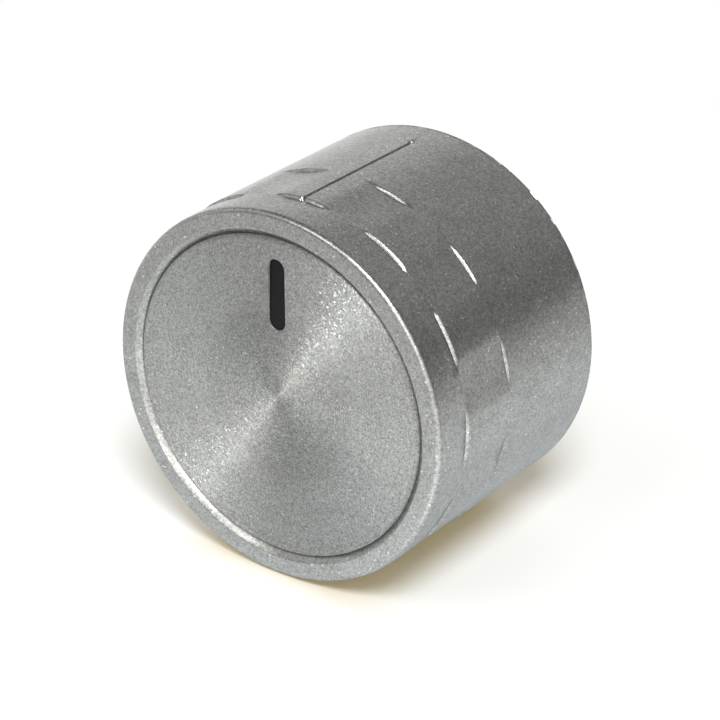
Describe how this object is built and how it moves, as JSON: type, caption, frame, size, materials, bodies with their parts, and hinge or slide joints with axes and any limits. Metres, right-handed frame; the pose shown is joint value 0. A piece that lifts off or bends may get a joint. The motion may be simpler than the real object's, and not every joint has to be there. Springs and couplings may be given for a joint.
{
  "type": "stove knob",
  "caption": "Round push-on control knob with a dished face, black pointer bar, shallow finger flutes and a D-shaft socket for turning a stove valve or switch.",
  "frame": {"origin": "centre of the skirt's open end, in the plane that it rests on", "axes": "+Z along the spindle axis, out of the face; the pointer lies towards +Y"},
  "size_m": [0.042, 0.042, 0.029],
  "materials": {
    "shell_paint": "fine silver flake paint, satin",
    "disc_metal": "concentric turned marks under sparkling silver flake lacquer",
    "pointer_black": "near-black, slightly glossy",
    "hub_plastic": "moulded black, matt",
    "spring_steel": "bright rolled spring steel"
  },
  "bodies": {
    "root": {"shell": "shell_paint", "face_disc": "disc_metal", "pointer_inlay": "pointer_black", "hub": "hub_plastic", "shaft_spring": "spring_steel"}
  },
  "joints": []
}
